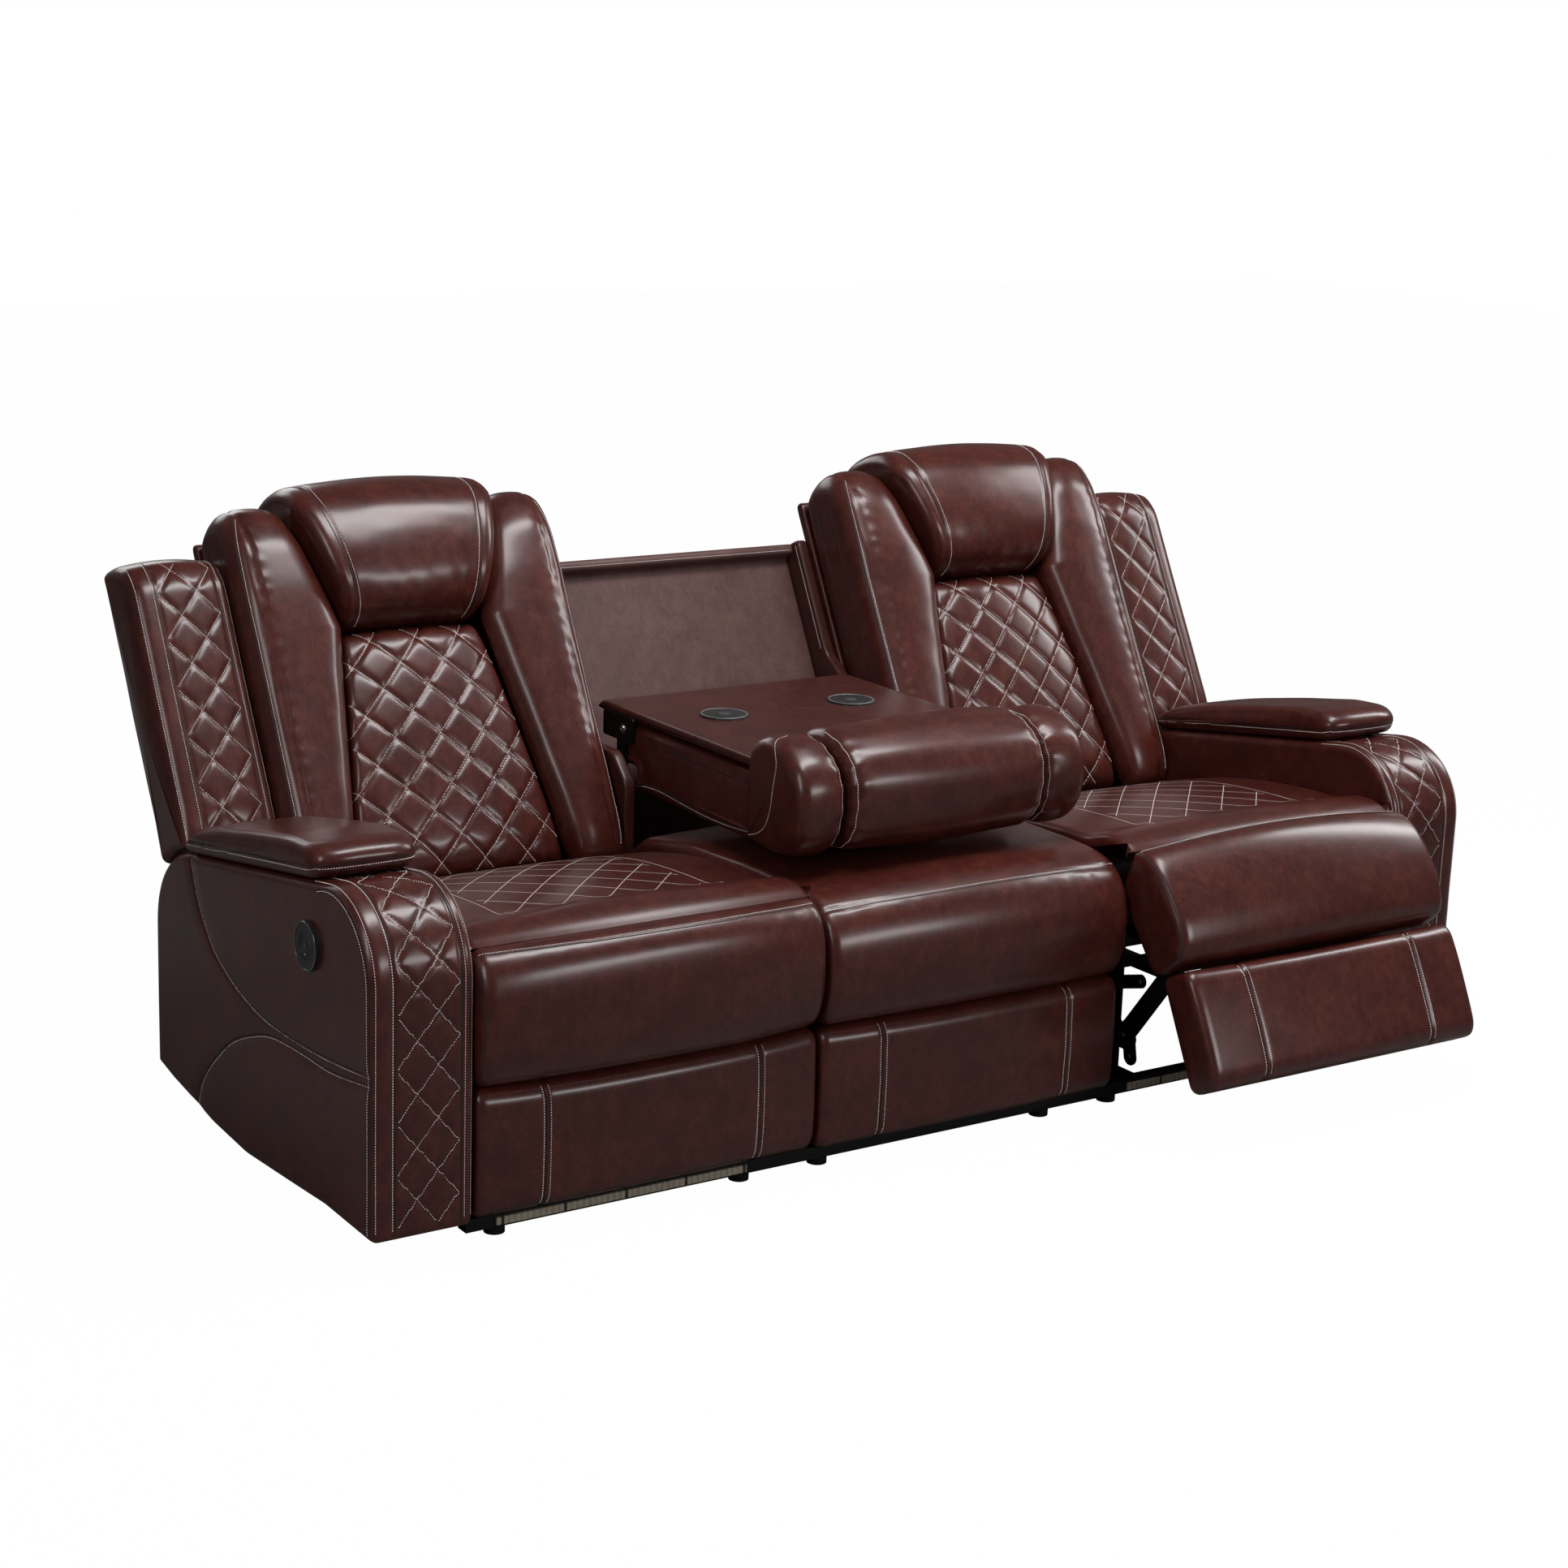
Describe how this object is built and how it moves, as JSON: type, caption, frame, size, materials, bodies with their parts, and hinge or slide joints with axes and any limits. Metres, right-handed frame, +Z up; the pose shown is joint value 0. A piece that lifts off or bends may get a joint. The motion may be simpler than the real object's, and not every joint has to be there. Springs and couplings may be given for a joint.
{
  "type": "power reclining sofa",
  "caption": "Three-seat power reclining sofa in quilted leather, with a drop-down table in the middle seat and a footrest that opens under each outer seat.",
  "frame": {"origin": "middle of the bounding box on the floor, with the left footrest shut and the right one part open", "axes": "+X along the sofa to the right as seen from the front, +Y to the back, +Z up"},
  "size_m": [2.2172, 1.3282, 1.0114],
  "materials": {
    "oxblood_leather": "glossy mottled oxblood leather",
    "black_steel": "black powder coat",
    "black_plastic": "fine matte black",
    "light_strip": "clear resin over a pale strip"
  },
  "bodies": {
    "base": {"front_rail": "black_steel", "base_rail_1": "black_steel", "base_rail_2": "black_steel", "base_rail_3": "black_steel", "base_rail_4": "black_steel", "light_strip_left": "light_strip", "light_strip_right": "light_strip", "rear_skirt": "oxblood_leather", "arm_left": "oxblood_leather", "arm_right": "oxblood_leather", "arm_pad_left": "oxblood_leather", "arm_pad_right": "oxblood_leather", "switch_bezel_left": "black_plastic", "switch_bezel_right": "black_plastic", "centre_seat": "oxblood_leather", "centre_base": "oxblood_leather", "centre_cheek_left": "oxblood_leather", "centre_cheek_right": "oxblood_leather", "rear_board": "oxblood_leather"},
    "left_seat": {"seat_cushion_left": "oxblood_leather", "seat_plate_left_inner": "black_steel", "seat_plate_left_outer": "black_steel", "drive_motor_left": "black_steel"},
    "left_footrest": {"footrest_pad_left": "oxblood_leather"},
    "left_flap": {"footrest_flap_left": "oxblood_leather"},
    "left_crank": {"crank_link_left": "black_steel"},
    "left_swing": {"swing_link_left": "black_steel"},
    "left_carriage": {"drive_carriage_left": "black_plastic"},
    "left_back": {"back_shell_left": "oxblood_leather", "lumbar_pad_left": "oxblood_leather", "bolster_left_inner": "oxblood_leather", "bolster_left_outer": "oxblood_leather", "headrest_left": "oxblood_leather", "wing_left": "oxblood_leather"},
    "left_button": {"recline_button_left": "black_plastic"},
    "right_seat": {"seat_cushion_right": "oxblood_leather", "seat_plate_right_inner": "black_steel", "seat_plate_right_outer": "black_steel", "drive_motor_right": "black_steel"},
    "right_footrest": {"footrest_pad_right": "oxblood_leather"},
    "right_flap": {"footrest_flap_right": "oxblood_leather"},
    "right_crank": {"crank_link_right": "black_steel"},
    "right_swing": {"swing_link_right": "black_steel"},
    "right_carriage": {"drive_carriage_right": "black_plastic"},
    "right_back": {"back_shell_right": "oxblood_leather", "lumbar_pad_right": "oxblood_leather", "bolster_right_inner": "oxblood_leather", "bolster_right_outer": "oxblood_leather", "headrest_right": "oxblood_leather", "wing_right": "oxblood_leather"},
    "right_button": {"recline_button_right": "black_plastic"},
    "table": {"table_tray": "oxblood_leather", "table_cushion": "oxblood_leather", "table_roll": "oxblood_leather", "table_roll_end_left": "oxblood_leather", "table_roll_end_right": "oxblood_leather", "charger_left": "black_plastic", "charger_right": "black_plastic", "table_bracket_left": "black_steel", "table_bracket_right": "black_steel"}
  },
  "joints": [
    {"name": "left_seat_glide", "type": "slide", "parent": "base", "child": "left_seat", "axis": [0, -1, 0], "range_m": [0, 0.06]},
    {"name": "left_footrest_swing", "type": "hinge", "parent": "left_seat", "child": "left_footrest", "pos_m": [0, -0.3816, 0.455], "axis": [-1, 0, 0], "range_deg": [0, 75]},
    {"name": "left_flap_fold", "type": "hinge", "parent": "left_footrest", "child": "left_flap", "pos_m": [0, -0.3436, 0.2431], "axis": [-1, 0, 0], "range_deg": [-22.3, 0]},
    {"name": "left_crank_turn", "type": "hinge", "parent": "left_seat", "child": "left_crank", "pos_m": [0, -0.2296, 0.199], "axis": [-1, 0, 0], "range_deg": [0, 94.2]},
    {"name": "left_swing_turn", "type": "hinge", "parent": "left_footrest", "child": "left_swing", "pos_m": [0, -0.2936, 0.274], "axis": [-1, 0, 0], "range_deg": [-101.2, 0]},
    {"name": "left_carriage_slide", "type": "slide", "parent": "left_seat", "child": "left_carriage", "axis": [0, -1, 0], "range_m": [0, 0.1201]},
    {"name": "left_recline", "type": "hinge", "parent": "base", "child": "left_back", "pos_m": [0, 0.2364, 0.319], "axis": [-1, 0, 0], "range_deg": [0, 32]},
    {"name": "left_button_press", "type": "slide", "parent": "base", "child": "left_button", "axis": [1, 0, 0], "range_m": [0, 0.0015], "stiffness_N_per_m": 800},
    {"name": "right_seat_glide", "type": "slide", "parent": "base", "child": "right_seat", "axis": [0, -1, 0], "range_m": [-0.0304, 0.0296]},
    {"name": "right_footrest_swing", "type": "hinge", "parent": "right_seat", "child": "right_footrest", "pos_m": [0, -0.412, 0.455], "axis": [-1, 0, 0], "range_deg": [-38, 37]},
    {"name": "right_flap_fold", "type": "hinge", "parent": "right_footrest", "child": "right_flap", "pos_m": [0, -0.51251, 0.26463], "axis": [-1, 0, 0], "range_deg": [-11, 11.3]},
    {"name": "right_crank_turn", "type": "hinge", "parent": "right_seat", "child": "right_crank", "pos_m": [0, -0.26, 0.199], "axis": [-1, 0, 0], "range_deg": [-47.7, 46.5]},
    {"name": "right_swing_turn", "type": "hinge", "parent": "right_footrest", "child": "right_swing", "pos_m": [0, -0.45409, 0.25819], "axis": [-1, 0, 0], "range_deg": [-49.9, 51.3]},
    {"name": "right_carriage_slide", "type": "slide", "parent": "right_seat", "child": "right_carriage", "axis": [0, -1, 0], "range_m": [-0.0609, 0.0593]},
    {"name": "right_recline", "type": "hinge", "parent": "base", "child": "right_back", "pos_m": [0, 0.2364, 0.319], "axis": [-1, 0, 0], "range_deg": [0, 32]},
    {"name": "right_button_press", "type": "slide", "parent": "base", "child": "right_button", "axis": [-1, 0, 0], "range_m": [0, 0.0015], "stiffness_N_per_m": 800},
    {"name": "table_fold", "type": "hinge", "parent": "base", "child": "table", "pos_m": [0, 0.2864, 0.503], "axis": [-1, 0, 0], "range_deg": [0, 118]}
  ],
  "couplings": [
    {"joint": "left_seat_glide", "follows": "left_footrest_swing", "m_per_rad": 0.045837},
    {"joint": "left_flap_fold", "follows": "left_footrest_swing", "ratio": -0.297},
    {"joint": "left_crank_turn", "follows": "left_footrest_swing", "ratio": 1.255},
    {"joint": "left_swing_turn", "follows": "left_footrest_swing", "ratio": -1.348},
    {"joint": "left_carriage_slide", "follows": "left_footrest_swing", "m_per_rad": 0.091673},
    {"joint": "right_seat_glide", "follows": "right_footrest_swing", "m_per_rad": 0.045837},
    {"joint": "right_flap_fold", "follows": "right_footrest_swing", "ratio": -0.297},
    {"joint": "right_crank_turn", "follows": "right_footrest_swing", "ratio": 1.255},
    {"joint": "right_swing_turn", "follows": "right_footrest_swing", "ratio": -1.348},
    {"joint": "right_carriage_slide", "follows": "right_footrest_swing", "m_per_rad": 0.091673}
  ]
}
